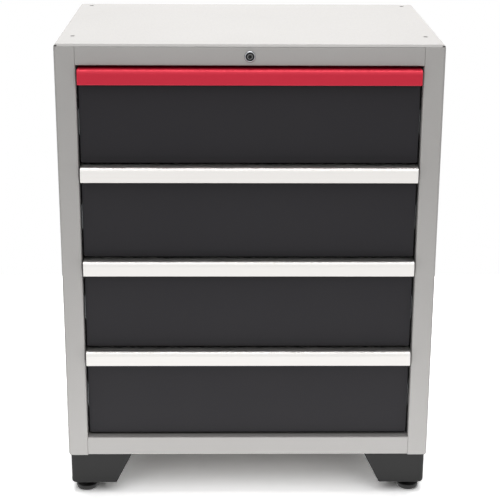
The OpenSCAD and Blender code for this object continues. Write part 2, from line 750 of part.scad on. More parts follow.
// Drawer front: folded pan with flanges turned in behind it
module drawer_front(i) {
    x = [-front_half, front_half];
    z = [front_z(i), front_z(i) + front_h - pull_t];
    function inset(s, d) = [s[0] + d, s[1] - d];
    t = drawer_t;
    color(charcoal) at_front() difference() {
        along_y([front_recess, box_front]) polygon(rounded(
            rectangle(x, z), [for (k = [1 : 4]) front_corner_r]));
        along_y([front_recess + t, box_front - t]) polygon(rounded(
            rectangle(inset(x, t), inset(z, t)), [for (k = [1 : 4]) front_corner_r - t]));
        along_y([box_front - t - slack, box_front + slack]) polygon(
            rectangle(inset(x, front_flange), inset(z, front_flange)));
    }
}

// Pull: one full-width profile that sits on the drawer front and turns down in front of it
module drawer_pull(i) {
    top = front_z(i) + front_h;
    low = top - pull_h;
    section = [[front_recess + pull_seat, top], [-pull_proud, top], [-pull_proud, low],
               [-pull_proud + pull_hem, low]];
    color(i == 0 ? red : aluminium) at_front() along_x([-front_half, front_half])
        polygon(folded(section, pull_t, [pull_r, pull_hem_r]));
}

// Slide rails: nested channels, outer on the cabinet and inner on the drawer
module rail_pair(section) {
    color(zinc) at_front() on_both_sides()
        along_y([slide_front, slide_front + slide_len]) polygon(folded(section, rail_t, [rail_r, rail_r]));
}
module outer_rails(i) {
    z = slide_z(i);
    free = -opening + outer_reach;
    color(zinc) at_front() on_both_sides() difference() {
        along_y([slide_front, slide_front + slide_len]) polygon(folded(
            [[free, z + slide_h / 2], [-opening, z + slide_h / 2], [-opening, z - slide_h / 2],
             [free, z - slide_h / 2]], rail_t, [rail_r, rail_r]));
        for (y = slide_screws_y) slide_screw_holes(y);
    }
}
module mid_rails(i) {
    z = slide_z(i);
    face = -opening + mid_face;
    free = -opening + mid_reach;
    rail_pair([[free, z + mid_half], [face, z + mid_half], [face, z - mid_half], [free, z - mid_half]]);
}
module inner_rails(i) {
    z = slide_z(i);
    face = -opening + slide_w;
    free = -opening + inner_reach;
    rail_pair([[free, z - inner_half], [face, z - inner_half], [face, z + inner_half],
               [free, z + inner_half]]);
}

// Two rows of balls in their cages, above and below the slide's middle
module ball_rows(i, row) {
    pitch = cage_len / balls_per_row;
    x = -opening + ball_u;
    color(zinc) at_front() on_both_sides() for (z = [slide_z(i) - row, slide_z(i) + row]) {
        places = [for (k = [0 : balls_per_row - 1]) cage_middle + (k - (balls_per_row - 1) / 2) * pitch];
        difference() {
            block([x - cage_w / 2, x + cage_w / 2], [cage_middle - cage_len / 2, cage_middle + cage_len / 2],
                  [z - cage_t / 2, z + cage_t / 2]);
            for (y = places) round_z(x, y, ball_d + 2 * running, [z - cage_t, z + cage_t]);
        }
        for (y = places) translate([x, y, z]) sphere(d = ball_d);
    }
}
module outer_balls(i) { ball_rows(i, outer_row); }
module inner_balls(i) { ball_rows(i, inner_row); }

left_side_panel();
right_side_panel();
back_panel();
top_panel();
floor_panel();
top_rail();
bottom_rail();
left_upright();
right_upright();
front_left_leg();
front_right_leg();
rear_left_leg();
rear_right_leg();
front_left_foot();
front_right_foot();
rear_left_foot();
rear_right_foot();
lock_cylinder();
lock_nut();
lock_plug();
lock_rod();
lock_rod_hanger();
lock_bar();
lock_bar_guides();
leg_bolts();
leg_nuts();
back_screws();
slide_screws();
for (i = [0 : drawer_count - 1]) {
    drawer_box(i);
    drawer_front(i);
    drawer_pull(i);
    inner_rails(i);
    inner_balls(i);
    mid_rails(i);
    outer_balls(i);
    outer_rails(i);
}
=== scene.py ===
"""Looks of a four-drawer steel tool cabinet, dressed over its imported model, in metres."""
import functools
import json
import logging
import math
from collections.abc import Callable, Iterator, Sequence
from contextlib import contextmanager
from dataclasses import dataclass
from enum import Enum

import bmesh
import bpy
from mathutils import Matrix, Vector


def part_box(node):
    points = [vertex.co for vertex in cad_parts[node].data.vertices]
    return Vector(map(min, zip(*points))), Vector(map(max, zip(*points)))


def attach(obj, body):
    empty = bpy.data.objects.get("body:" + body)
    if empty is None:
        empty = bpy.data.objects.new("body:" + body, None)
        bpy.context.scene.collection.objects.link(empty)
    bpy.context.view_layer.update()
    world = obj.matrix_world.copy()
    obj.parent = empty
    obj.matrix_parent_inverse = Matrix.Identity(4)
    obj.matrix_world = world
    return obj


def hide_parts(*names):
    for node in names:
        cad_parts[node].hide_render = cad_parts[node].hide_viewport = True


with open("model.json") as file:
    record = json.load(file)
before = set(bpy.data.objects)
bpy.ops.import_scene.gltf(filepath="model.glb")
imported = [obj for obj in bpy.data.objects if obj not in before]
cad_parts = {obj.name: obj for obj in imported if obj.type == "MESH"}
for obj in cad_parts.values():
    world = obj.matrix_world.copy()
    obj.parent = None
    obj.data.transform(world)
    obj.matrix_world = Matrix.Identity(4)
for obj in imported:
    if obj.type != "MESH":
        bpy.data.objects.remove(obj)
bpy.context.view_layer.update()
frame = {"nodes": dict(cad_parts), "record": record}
MM = 0.001
UNIT = 1.0  # Size of a primitive before it is scaled
NEAR = 0.01 * MM  # Reach of a test by place
SAME = 0.001 * MM  # Points closer than this are one
EDGE = 0.25 * MM  # Broken edges
EDGE_STEPS = 2
EDGE_ANGLE = math.radians(50)
SMOOTH_ANGLE = math.radians(40)
FLAT_ANGLE = math.radians(0.2)
ROUND = 0.5  # Profile of a bevel that is an arc
FOLD_STEPS = 6
REACH = 2 * MM  # How far a tool stands out of the piece that it cuts
DRILL_LENGTH = 8 * MM
DRILL_SIDES = 32
LOCK_HOLE = 16.3 * MM
IMAGE_PX = 500
log = logging.getLogger("tool_cabinet")

Point = tuple[float, float]
Place = tuple[float, float, float]
Test = Callable[[list[Vector]], bool]
Piece = bpy.types.Object
Tree = bpy.types.NodeTree
Socket = bpy.types.NodeSocket


class Pick(Enum):
    """Kind of mesh element that is selected."""

    VERTICES = "VERT"
    EDGES = "EDGE"
    FACES = "FACE"


class Cut(Enum):
    """What a tool does to the piece that it meets."""

    TAKE_AWAY = "DIFFERENCE"
    KEEP_SHARED = "INTERSECT"
    ADD = "UNION"


class Axis(Enum):
    """Axis of the frame."""

    X = 0
    Y = 1
    Z = 2


class Run(Enum):
    """Turn that lays a sheet's folds, drawn along Y, in their direction."""

    ACROSS = (0, 0, math.pi / 2)
    DEEP = (0, 0, 0)
    UPRIGHT = (math.pi / 2, 0, 0)


class Facing(Enum):
    """Turn that faces a piece, made along Z, upwards, to the front or to the back."""

    UP = (0, 0, 0)
    FRONT = (math.pi / 2, 0, 0)
    BACK = (-math.pi / 2, 0, 0)


# Modelling


def alone(piece: Piece) -> None:
    """Selects one piece only and makes it active.

    Args:
        piece: The piece.
    """
    bpy.ops.object.select_all(action="DESELECT")
    piece.select_set(True)
    bpy.context.view_layer.objects.active = piece


def settle(piece: Piece) -> None:
    """Moves a piece's place, turn and scale into its mesh."""
    alone(piece)
    bpy.ops.object.transform_apply(location=True, rotation=True, scale=True)


def start(name: str, primitive: Callable[..., set[str]], **settings: object) -> Piece:
    """Adds a primitive with nothing else selected.

    Args:
        name: Name of the new object and its mesh.
        primitive: Operator that adds it.
        **settings: The operator's own settings.

    Returns:
        The new object, with its place in its mesh.
    """
    bpy.ops.object.select_all(action="DESELECT")
    primitive(**settings)
    piece = bpy.context.active_object
    piece.name = piece.data.name = name
    settle(piece)
    return piece


def block(name: str, low: Sequence[float], high: Sequence[float]) -> Piece:
    """Adds a block between its lowest and its highest corner."""
    low, high = Vector(low), Vector(high)
    return start(name, bpy.ops.mesh.primitive_cube_add, size=UNIT, location=(low + high) / 2,
                 scale=high - low)


def drill(diameter: float, spot: Sequence[float], facing: Facing = Facing.UP,
          sides: int = DRILL_SIDES) -> Piece:
    """Adds a round tool for a hole, with its middle at a spot."""
    return start("drill", bpy.ops.mesh.primitive_cylinder_add, vertices=sides, radius=diameter / 2,
                 depth=DRILL_LENGTH, location=spot, rotation=facing.value)


def middle(node: str, axis: Axis) -> float:
    """Gives the middle of a CAD node along an axis."""
    low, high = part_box(node)
    return (low[axis.value] + high[axis.value]) / 2


@contextmanager
def editing(piece: Piece) -> Iterator[None]:
    """Holds one piece in edit mode.

    Args:
        piece: The piece.

    Yields:
        Nothing.
    """
    alone(piece)
    bpy.ops.object.mode_set(mode="EDIT")
    yield
    bpy.ops.object.mode_set(mode="OBJECT")


def pick(piece: Piece, kind: Pick, test: Test) -> None:
    """Selects in edit mode the elements whose points pass a test.

    Args:
        piece: The piece in edit mode.
        kind: The kind of element.
        test: Takes the places of an element's points.
    """
    bpy.ops.mesh.select_mode(type=kind.value)
    bpy.ops.mesh.select_all(action="DESELECT")
    shape = bmesh.from_edit_mesh(piece.data)
    elements = {Pick.VERTICES: shape.verts, Pick.EDGES: shape.edges, Pick.FACES: shape.faces}[kind]
    found = [e for e in elements if test([v.co for v in getattr(e, "verts", [e])])]
    for element in found:
        element.select_set(True)
    shape.select_flush_mode()
    bmesh.update_edit_mesh(piece.data)
    if not found:
        raise ValueError(f"nothing to pick on {piece.name}")


def at(x: float | None = None, y: float | None = None, z: float | None = None) -> Test:
    """Makes a test for elements that lie wholly at the given coordinates."""
    places = [(axis, value) for axis, value in enumerate((x, y, z)) if value is not None]
    return lambda points: all(abs(p[axis] - value) < NEAR for p in points for axis, value in places)


def round_off(piece: Piece, test: Test, radius: float, steps: int = FOLD_STEPS) -> None:
    """Bevels in edit mode the edges that pass a test."""
    pick(piece, Pick.EDGES, test)
    bpy.ops.mesh.bevel(offset=radius, segments=steps, profile=ROUND, affect="EDGES")


def draw_out(shift: Sequence[float]) -> None:
    """Extrudes what is selected."""
    bpy.ops.mesh.extrude_region_move(TRANSFORM_OT_translate={"value": shift})


def seal(fill: bool) -> None:
    """Joins the points that meet in edit mode and turns all faces outwards.

    Args:
        fill: Whether open ends are filled.
    """
    bpy.ops.mesh.select_all(action="SELECT")
    bpy.ops.mesh.remove_doubles(threshold=NEAR)
    if fill:
        bpy.ops.mesh.fill_holes(sides=0)
        bpy.ops.mesh.select_all(action="SELECT")
    bpy.ops.mesh.normals_make_consistent(inside=False)


def modify(piece: Piece, kind: str, **settings: object) -> None:
    """Adds a modifier and applies it.

    Args:
        piece: The piece that is modified.
        kind: Blender's name of the modifier.
        **settings: The modifier's own settings.
    """
    alone(piece)
    modifier = piece.modifiers.new(kind.lower(), kind)
    for key, value in settings.items():
        setattr(modifier, key, value)
    bpy.ops.object.modifier_apply(modifier=modifier.name)


def cut(piece: Piece, tool: Piece, how: Cut = Cut.TAKE_AWAY) -> None:
    """Cuts a piece with a tool, or adds the tool to it, and removes the tool.

    Args:
        piece: The piece.
        tool: The tool.
        how: What the tool does.
    """
    modify(piece, "BOOLEAN", operation=how.value, solver="EXACT", object=tool)
    bpy.data.objects.remove(tool)
    if not piece.data.polygons:
        raise ValueError(f"nothing left of {piece.name}")


def join(piece: Piece, *others: Piece) -> None:
    """Joins other pieces into the first one.

    Args:
        piece: The piece that stays.
        *others: The pieces that it takes in.
    """
    alone(piece)
    for other in others:
        other.select_set(True)
    bpy.ops.object.join()


def copied(piece: Piece, name: str, shift: Sequence[float] = (0, 0, 0)) -> Piece:
    """Copies a piece with a mesh of its own.

    Args:
        piece: The piece to copy.
        name: Name of the copy.
        shift: How far the copy is moved.

    Returns:
        The copy.
    """
    alone(piece)
    bpy.ops.object.duplicate(linked=False)
    copy = bpy.context.active_object
    copy.name = copy.data.name = name
    copy.location = shift
    settle(copy)
    return copy


def mirrored(piece: Piece, name: str, axis: Axis, plane: float = 0.0) -> Piece:
    """Copies a piece to the other side of a plane.

    Args:
        piece: The piece to copy.
        name: Name of the copy.
        axis: The axis that the plane lies across.
        plane: Where the plane lies on that axis.

    Returns:
        The mirrored copy.
    """
    copy = copied(piece, name)
    scale, centre = [1.0, 1.0, 1.0], [0.0, 0.0, 0.0]
    scale[axis.value], centre[axis.value] = -1.0, plane
    with editing(copy):
        bpy.ops.mesh.select_all(action="SELECT")
        bpy.ops.transform.resize(value=scale, center_override=centre)
        if bmesh.from_edit_mesh(copy.data).calc_volume(signed=True) < 0:
            bpy.ops.mesh.flip_normals()
    return copy


def thicken(sheet: Piece, wall: float) -> None:
    """Gives a sheet its wall, behind its faces."""
    modify(sheet, "SOLIDIFY", thickness=wall, offset=-1, use_even_offset=True)


def folded_sheet(name: str, path: Sequence[Point], span: Point, run: Run, folds: Sequence[float],
                 wall: float = 0.0) -> Piece:
    """Draws a sheet along a path and rounds its folds. Its faces point to the right of the path.

    Args:
        name: Name of the sheet.
        path: Points in the plane across the folds: (x, y), (x, z) or (y, z).
        span: First and last place along the folds.
        run: Direction of the folds.
        folds: Outer radius of the fold at each inner point of the path.
        wall: Thickness behind its faces, or 0 for none yet.

    Returns:
        The sheet.
    """
    side = -1 if run is Run.UPRIGHT else 1
    points = [(u, side * v) for u, v in path]
    ends = (-span[1], -span[0]) if run is Run.ACROSS else span
    (u, v), (next_u, next_v) = points[:2]
    centre = Vector(((u + next_u) / 2, sum(ends) / 2, (v + next_v) / 2))
    right = Vector((next_v - v, 0, u - next_u)) * side
    sheet = start(name, bpy.ops.mesh.primitive_plane_add, size=UNIT)
    with editing(sheet):
        pick(sheet, Pick.VERTICES, lambda p: p[0].x > 0)
        bpy.ops.mesh.delete(type="VERT")
        bpy.ops.mesh.select_all(action="SELECT")
        bpy.ops.transform.translate(value=(UNIT / 2 + u, 0, v))
        bpy.ops.transform.resize(value=(1, ends[1] - ends[0], 1), center_override=(0, 0, 0))
        bpy.ops.transform.translate(value=(0, sum(ends) / 2, 0))
        for (u, v), (next_u, next_v) in zip(points, points[1:]):
            draw_out((next_u - u, 0, next_v - v))
        for (u, v), radius in zip(points[1:-1], folds):
            round_off(sheet, at(x=u, z=v), radius)
        shape = bmesh.from_edit_mesh(sheet.data)
        shape.normal_update()
        first = min(shape.faces, key=lambda f: (f.calc_center_median() - centre).length)
        bpy.ops.mesh.select_all(action="SELECT")
        if first.normal.dot(right) < 0:
            bpy.ops.mesh.flip_normals()
    sheet.rotation_euler = run.value
    settle(sheet)
    if wall:
        thicken(sheet, wall)
    return sheet


def turned(name: str, profile: Sequence[Point], sides: int, tube: bool = False) -> Piece:
    """Models a round piece about Z, drawn out from a circle ring by ring.

    Args:
        name: Name of the piece.
        profile: Radius and height of each ring.
        sides: Number of sides of a ring.
        tube: Whether the last ring closes on the first. Both ends are filled otherwise.

    Returns:
        The piece, upright at the origin.
    """
    radius, height = profile[0]
    piece = start(name, bpy.ops.mesh.primitive_circle_add, vertices=sides, radius=radius,
                  location=(0, 0, height))
    with editing(piece):
        bpy.ops.mesh.select_all(action="SELECT")
        for next_radius, next_height in profile[1:]:
            draw_out((0, 0, next_height - height))
            share = next_radius / radius
            bpy.ops.transform.resize(value=(share, share, 1), center_override=(0, 0, next_height))
            radius, height = next_radius, next_height
        seal(fill=not tube)
    return piece


def place(piece: Piece, spot: Sequence[float], facing: Facing = Facing.UP) -> Piece:
    """Turns a piece made about Z and puts it at its spot.

    Args:
        piece: The piece.
        spot: Where its origin goes.
        facing: Where its upper end points.

    Returns:
        The piece.
    """
    piece.rotation_euler = facing.value
    piece.location = spot
    settle(piece)
    return piece


def clean(piece: Piece, flats: bool = False) -> None:
    """Joins points that coincide and removes faces without area.

    Args:
        piece: The piece.
        flats: Whether lines across flat faces go too.
    """
    with editing(piece):
        bpy.ops.mesh.select_mode(type=Pick.VERTICES.value)
        bpy.ops.mesh.select_all(action="SELECT")
        bpy.ops.mesh.remove_doubles(threshold=SAME)
        bpy.ops.mesh.dissolve_degenerate(threshold=SAME)
        if flats:
            bpy.ops.mesh.dissolve_limited(angle_limit=FLAT_ANGLE)


def break_edges(piece: Piece, width: float) -> None:
    """Takes the sharpness off edges, so that they catch the light, and keeps flats flat.

    Args:
        piece: The piece.
        width: Width of the broken edges, or 0 for none.
    """
    if width:
        clean(piece, flats=True)
        modify(piece, "BEVEL", width=width, segments=EDGE_STEPS, limit_method="ANGLE",
               angle_limit=EDGE_ANGLE)
    clean(piece)
    alone(piece)
    bpy.ops.object.shade_smooth_by_angle(angle=SMOOTH_ANGLE)
    modify(piece, "WEIGHTED_NORMAL", keep_sharp=True)


# Finishes


def linear(colour: str) -> tuple[float, ...]:
    """Turns an sRGB hex value to linear light, with full alpha."""
    parts = (int(colour[k:k + 2], 16) / 255 for k in (1, 3, 5))
    return *(p / 12.92 if p <= 0.04045 else ((p + 0.055) / 1.055) ** 2.4 for p in parts), 1.0


def empty_tree(owner: bpy.types.Material | bpy.types.World) -> Tree:
    """Gives a material or a world a node tree with nothing in it.

    Args:
        owner: The material or world.

    Returns:
        The tree.
    """
    owner.use_nodes = True
    owner.node_tree.nodes.clear()
    return owner.node_tree


def add_node(tree: Tree, kind: str, sockets: dict[str | int, object] | None = None,
             **settings: object) -> bpy.types.Node:
    """Adds a shader node with its settings and links.

    Args:
        tree: The node tree.
        kind: Blender's name of the node, without its prefix.
        sockets: A value or a socket to link for each input.
        **settings: The node's own settings.

    Returns:
        The node.
    """
    node = tree.nodes.new("ShaderNode" + kind)
    for key, value in settings.items():
        setattr(node, key, value)
    for key, value in (sockets or {}).items():
        if isinstance(value, bpy.types.NodeSocket):
            tree.links.new(value, node.inputs[key])
        else:
            node.inputs[key].default_value = value
    return node


def noise(tree: Tree, where: Socket, grain: float, detail: float = 3.0) -> Socket:
    """Adds a noise with a given size of grain."""
    sockets = {"Vector": where, "Scale": 1 / grain, "Detail": detail}
    return add_node(tree, "TexNoise", sockets).outputs["Fac"]


def combine(tree: Tree, operation: str, *values: float | Socket) -> Socket:
    """Works out one value from others."""
    return add_node(tree, "Math", dict(enumerate(values)), operation=operation).outputs[0]


def mix(tree: Tree, share: Socket, first: object, second: object) -> Socket:
    """Mixes two colours."""
    return add_node(tree, "Mix", {0: share, 6: first, 7: second}, data_type="RGBA").outputs[2]


@dataclass(frozen=True)
class Finish:
    """A surface finish: the record's slot, the material's name, its two tones and its grain.

    The grain's span swings the gloss, and the relief is the strength and the distance of its bump.
    """

    slot: str
    name: str
    colour: str
    shade: str
    roughness: float
    metallic: float = 0.0
    specular: float = 0.5
    refraction: float = 1.5
    grain: float = UNIT
    grain_detail: float = 3.0
    grain_span: Point = (0.3, 0.7)
    gloss_swing: Point | None = None
    relief: Point | None = None

    @functools.cache
    def material(self) -> bpy.types.Material:
        """Makes the finish's material, once.

        Returns:
            The material.
        """
        made = bpy.data.materials.new(self.name)
        tree = empty_tree(made)
        where = add_node(tree, "TexCoord").outputs["Object"]
        shader = add_node(tree, "BsdfPrincipled", self.inputs(tree, where))
        add_node(tree, "OutputMaterial", {"Surface": shader.outputs["BSDF"]})
        return made

    def inputs(self, tree: Tree, where: Socket) -> dict[str, object]:
        """Makes the nodes that vary tone, gloss and relief.

        Args:
            tree: The material's node tree.
            where: Object coordinates.

        Returns:
            The shader's inputs.
        """
        grain = noise(tree, self.drawn(tree, where), self.grain, self.grain_detail)
        pattern = self.pattern(tree, where, grain)
        made = {"Base Color": mix(tree, pattern, linear(self.shade), linear(self.colour)),
                "Roughness": self.roughness, "Metallic": self.metallic,
                "Specular IOR Level": self.specular, "IOR": self.refraction}
        if self.gloss_swing:
            levels = [*self.grain_span, *(self.roughness + swing for swing in self.gloss_swing)]
            gloss = add_node(tree, "MapRange", dict(enumerate([grain, *levels])))
            made["Roughness"] = gloss.outputs[0]
        if self.relief:
            strength, distance = self.relief
            bump = {"Strength": strength, "Distance": distance, "Height": grain}
            made["Normal"] = add_node(tree, "Bump", bump).outputs[0]
        return made

    def drawn(self, tree: Tree, where: Socket) -> Socket:
        """Gives the coordinates in which the grain is drawn."""
        return where

    def pattern(self, tree: Tree, where: Socket, grain: Socket) -> Socket:
        """Gives the pattern that mixes the two tones."""
        return grain


@dataclass(frozen=True)
class PowderCoat(Finish):
    """Powder coat, sprayed dry and baked: even satin colour over a fine orange peel.

    The real peel is about half a millimetre across, too fine to show, so it is drawn coarser.
    """

    grain: float = 2.4 * MM
    grain_detail: float = 2.0
    grain_share: float = 0.4
    gloss_swing: Point = (-0.05, 0.07)
    relief: Point = (0.12, 0.05 * MM)
    drift: float = 160 * MM
    drift_share: float = 0.6

    def pattern(self, tree: Tree, where: Socket, grain: Socket) -> Socket:
        """Adds the peel to a slow drift of tone."""
        drift = combine(tree, "MULTIPLY", noise(tree, where, self.drift), self.drift_share)
        return combine(tree, "MULTIPLY_ADD", grain, self.grain_share, drift)


@dataclass(frozen=True)
class BrushedAnodised(Finish):
    """Aluminium brushed along its length and anodised: long faint streaks and a soft sheen.

    Brush lines are about 0.1 mm apart, too fine to show, so they are drawn coarser.
    """

    metallic: float = 1.0
    grain_detail: float = 4.0
    gloss_swing: Point = (-0.07, 0.09)
    relief: Point = (0.08, 0.03 * MM)
    line: float = 0.9 * MM
    stroke: float = 70 * MM

    def drawn(self, tree: Tree, where: Socket) -> Socket:
        """Draws the grain out into streaks along X."""
        scale = (1 / self.stroke, 1 / self.line, 1 / self.line)
        return add_node(tree, "Mapping", {"Vector": where, "Scale": scale}).outputs[0]


@dataclass(frozen=True)
class PlatedSteel(Finish):
    """Steel with a bright zinc plate: cool grey metal in faint patches of crystal."""

    metallic: float = 1.0
    grain: float = 1.75 * MM
    gloss_swing: Point = (-0.06, 0.08)
    patch: float = 7 * MM

    def pattern(self, tree: Tree, where: Socket, grain: Socket) -> Socket:
        """Gives each patch of crystal a tone of its own under the grain's haze."""
        patches = add_node(tree, "TexVoronoi", {
            "Vector": where, "Scale": 1 / self.patch}).outputs["Color"]
        return combine(tree, "MULTIPLY", add_node(tree, "RGBToBW", {0: patches}).outputs[0], grain)


@dataclass(frozen=True)
class PolishedMetal(Finish):
    """Metal polished to a mirror: clear reflections under a faint film of handling."""

    metallic: float = 1.0
    grain: float = 6 * MM
    grain_span: Point = (0.4, 0.7)
    gloss_swing: Point = (0.0, 0.1)


@dataclass(frozen=True)
class BlackenedSteel(Finish):
    """Steel blackened in oil: a dull black face whose rim the key has rubbed bright."""

    grain: float = 3 * MM
    bare: str = "#9a9a9a"
    rubbed: float = 3.75 * MM
    fade: float = 0.15 * MM

    def inputs(self, tree: Tree, where: Socket) -> dict[str, object]:
        """Ends the mottled black where the rim begins, measured from the lock's axis.

        Args:
            tree: The material's node tree.
            where: Object coordinates.

        Returns:
            The shader's inputs.
        """
        made = super().inputs(tree, where)
        across = add_node(tree, "Mapping", {
            "Vector": where, "Location": (0, 0, -middle("lock_plug", Axis.Z)), "Scale": (1, 0, 1)})
        radius = add_node(tree, "VectorMath", {0: across.outputs[0]}, operation="LENGTH")
        worn = add_node(tree, "MapRange", {
            0: radius.outputs["Value"], 1: self.rubbed - self.fade, 2: self.rubbed + self.fade})
        metal = mix(tree, worn.outputs[0], made["Base Color"], linear(self.bare))
        return made | {"Base Color": metal, "Metallic": worn.outputs[0]}


@dataclass(frozen=True)
class MouldedNylon(Finish):
    """Glass-filled nylon from a mould: dull black with a fine mottled skin."""

    refraction: float = 1.53
    grain: float = 1.8 * MM
    grain_detail: float = 4.0
    gloss_swing: Point = (-0.08, 0.08)
    relief: Point = (0.25, 0.08 * MM)


SILVER_PAINT = PowderCoat("silver_powder_coat", "silver satin powder coat",
                          "#a6a4a2", "#9d9b99", 0.42)
CHARCOAL_PAINT = PowderCoat("charcoal_powder_coat", "charcoal satin powder coat",
                            "#2d2c2e", "#28272a", 0.46, specular=0.12)
BLACK_PAINT = PowderCoat("black_powder_coat", "black matt powder coat",
                         "#2a2a2a", "#242424", 0.55, specular=0.25)
CLEAR_ALUMINIUM = BrushedAnodised("clear_anodised_aluminium", "brushed clear anodised aluminium",
                                  "#f5f2ef", "#eceae7", 0.41)
RED_ALUMINIUM = BrushedAnodised("red_anodised_aluminium", "brushed red anodised aluminium",
                                "#c61f38", "#ba1a31", 0.44, metallic=0.35)
ZINC = PlatedSteel("zinc_plated_steel", "bright zinc plated steel", "#cdd0d2", "#a9adb0", 0.30)
BALL_STEEL = PolishedMetal("bearing_steel", "ground bearing steel", "#c9c9c9", "#b4b4b4", 0.12)
CHROME = PolishedMetal("polished_chrome", "polished chrome plate", "#b0b1b4", "#9da0a3", 0.17)
BLACK_STEEL = BlackenedSteel("blackened_steel", "oil blackened steel", "#141414", "#0c0c0c", 0.35)
NYLON = MouldedNylon("black_nylon", "moulded black nylon", "#222222", "#181818", 0.52)
FINISHES = (SILVER_PAINT, CHARCOAL_PAINT, BLACK_PAINT, CLEAR_ALUMINIUM, RED_ALUMINIUM, ZINC,
            BALL_STEEL, CHROME, BLACK_STEEL, NYLON)


def dress(piece: Piece, finish: Finish, body: str, nodes: Sequence[str],
          edge: float = EDGE) -> None:
    """Finishes a piece: broken edges, material, body and the CAD nodes that it stands for.

    Args:
        piece: The modelled piece.
        finish: Its surface finish.
        body: The CAD body that it moves with.
        nodes: The CAD nodes that it replaces.
        edge: Width of its broken edges.
    """
    break_edges(piece, edge)
    piece.data.materials.clear()
    piece.data.materials.append(finish.material())
    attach(piece, body)
    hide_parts(*nodes)
    log.info("%s: %d faces, on %s", piece.name, len(piece.data.polygons), body)


def paint_faces(piece: Piece, finish: Finish, test: Test) -> None:
    """Gives another finish to the faces whose points pass a test.

    Args:
        piece: The dressed piece.
        finish: The other finish.
        test: Takes the places of a face's points.
    """
    piece.data.materials.append(finish.material())
    for face in piece.data.polygons:
        if test([piece.data.vertices[i].co for i in face.vertices]):
            face.material_index = len(piece.data.materials) - 1


# Cabinet


@dataclass
class TopPanel:
    """Shallow tray over the cabinet, with a folded lip, open lower corners and bolt holes."""

    sheet: float = 1.0 * MM
    lean: float = 3.6 * MM
    fold_radius: float = 1.0 * MM
    fold_steps: int = 4
    hem_radius: float = 0.4 * MM
    hem_steps: int = 2
    lip_return: float = 14 * MM
    corner_gap: float = 6 * MM
    gap_height: float = 2.3 * MM
    hole_diameter: float = 8.5 * MM
    hole_side: float = 25 * MM
    hole_front: float = 78 * MM
    hole_rear: float = 26 * MM

    def build(self) -> None:
        """Models the tray, opens its corners, drills it and dresses it."""
        low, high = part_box("top_panel")
        t = self.sheet
        tray = self.leaning_block("top_tray", low, high)
        with editing(tray):
            round_off(tray, at(z=high.z), self.fold_radius, self.fold_steps)
            round_off(tray, at(z=low.z), self.hem_radius, self.hem_steps)
        wall, turn = Vector((t, t, t)), Vector((self.lip_return, self.lip_return, 0))
        hollow = self.leaning_block("hollow", low + wall, high - wall)
        opening = block("opening", low + turn - Vector((0, 0, t)),
                        (*(high - turn).xy, low.z + 2 * t))
        for tool in (hollow, opening, *self.tools(low, high)):
            cut(tray, tool)
        dress(tray, SILVER_PAINT, "cabinet", ["top_panel"])

    def leaning_block(self, name: str, low: Vector, high: Vector) -> Piece:
        """Adds a block whose sides lean inwards.

        Args:
            name: Name of the block.
            low: Its lowest corner.
            high: Its highest corner, before it leans.

        Returns:
            The block.
        """
        made = block(name, low, high)
        size = high - low
        with editing(made):
            pick(made, Pick.VERTICES, at(z=high.z))
            bpy.ops.transform.resize(
                value=(1 - 2 * self.lean / size.x, 1 - 2 * self.lean / size.y, 1),
                center_override=(low + high) / 2)
        return made

    def tools(self, low: Vector, high: Vector) -> list[Piece]:
        """Makes blocks that open the lip's corners and drills for the worktop bolts.

        Args:
            low: The tray's lowest corner.
            high: Its highest corner.

        Returns:
            The tools.
        """
        gap, top = self.corner_gap, low.z + self.gap_height
        across = [(low.x - REACH, low.x + gap), (high.x - gap, high.x + REACH)]
        deep = [(low.y - REACH, low.y + gap), (high.y - gap, high.y + REACH)]
        gaps = [block("gap", (x[0], y[0], low.z - REACH), (x[1], y[1], top))
                for x in across for y in deep]
        return gaps + [drill(self.hole_diameter, (x, y, high.z))
                       for x in (low.x + self.hole_side, high.x - self.hole_side)
                       for y in (low.y + self.hole_front, high.y - self.hole_rear)]


@dataclass
class SidePanels:
    """Left and right sides: wall, front post and flanges folded from one sheet."""

    sheet: float = 1.0 * MM
    post_width: float = 35.8 * MM
    post_return: float = 50 * MM
    post_flange: float = 20 * MM
    rear_flange: float = 22 * MM
    top_flange: float = 16 * MM
    base_flange: float = 30 * MM
    corner_radius: float = 4.5 * MM
    fold_radius: float = 2.0 * MM

    def build(self) -> None:
        """Models the left side by its folds, mirrors it and dresses both."""
        low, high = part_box("left_side_panel")
        post, back = low.x + self.post_width, low.y + self.post_return
        left = folded_sheet("left_side", [
            (low.x + self.rear_flange, high.y), (low.x, high.y), (low.x, low.y), (post, low.y),
            (post, back), (post - self.post_flange, back)], (low.z, high.z), Run.UPRIGHT,
            [self.fold_radius, self.corner_radius, self.fold_radius, self.fold_radius], self.sheet)
        outline = block("outline", (low.x, low.y - REACH, low.z), high + Vector((REACH,) * 3))
        with editing(outline):
            round_off(outline, at(x=low.x, z=low.z), self.corner_radius)
        cut(left, outline, Cut.KEEP_SHARED)
        base = folded_sheet("base", [
            (low.x, low.z + self.base_flange), (low.x, low.z), (low.x + self.base_flange, low.z)],
            (low.y + self.corner_radius, high.y - self.fold_radius), Run.DEEP,
            [self.corner_radius], self.sheet)
        cut(left, base, Cut.ADD)
        seat = block("seat", (low.x + self.sheet / 2, back, high.z - self.sheet),
                     (low.x + self.top_flange, high.y - self.sheet / 2, high.z))
        cut(left, seat, Cut.ADD)
        right = mirrored(left, "right_side", Axis.X)
        dress(left, SILVER_PAINT, "cabinet", ["left_side_panel"])
        dress(right, SILVER_PAINT, "cabinet", ["right_side_panel"])


